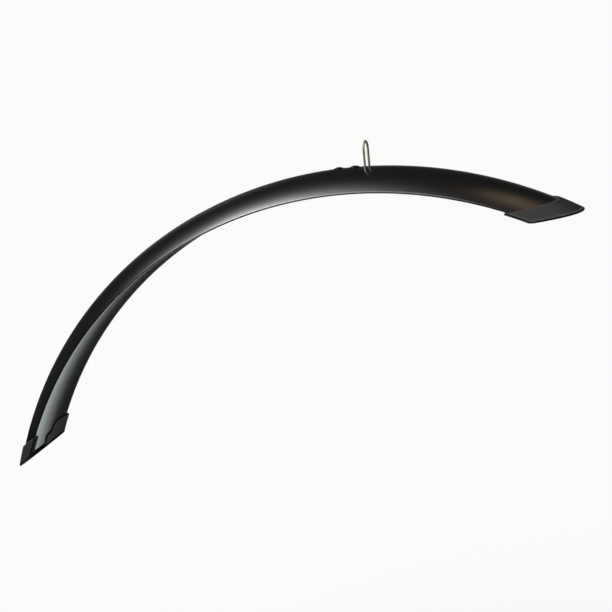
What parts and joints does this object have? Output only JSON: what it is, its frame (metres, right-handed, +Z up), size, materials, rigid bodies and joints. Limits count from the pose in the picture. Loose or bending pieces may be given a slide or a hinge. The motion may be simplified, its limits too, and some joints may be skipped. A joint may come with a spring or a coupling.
{
  "type": "bicycle mudguard",
  "caption": "Front mudguard for a bicycle: an arched plastic channel with a moulded cap on each slanted end and a wire loop on its crown that hangs on the fork crown's bolt.",
  "frame": {"origin": "in the eye of the wire loop, at the centre of its arch, where the bolt of the fork crown passes", "axes": "+X forward along that bolt, +Y to the rider's left across the blade, +Z up"},
  "size_m": [0.4971, 0.0664, 0.2647],
  "materials": {
    "blade": "smooth black, between satin and gloss",
    "cap": "matte dark grey, fine moulded grain",
    "wire": "dull plated steel wire",
    "plate": "plain plated sheet steel",
    "rivet": "black, domed, half gloss"
  },
  "bodies": {
    "root": {"blade": "blade", "front_end_cap": "cap", "rear_end_cap": "cap", "mounting_loop": "wire", "clamp_plate": "plate", "clamp_rivet_front": "rivet", "clamp_rivet_rear": "rivet"}
  },
  "joints": []
}
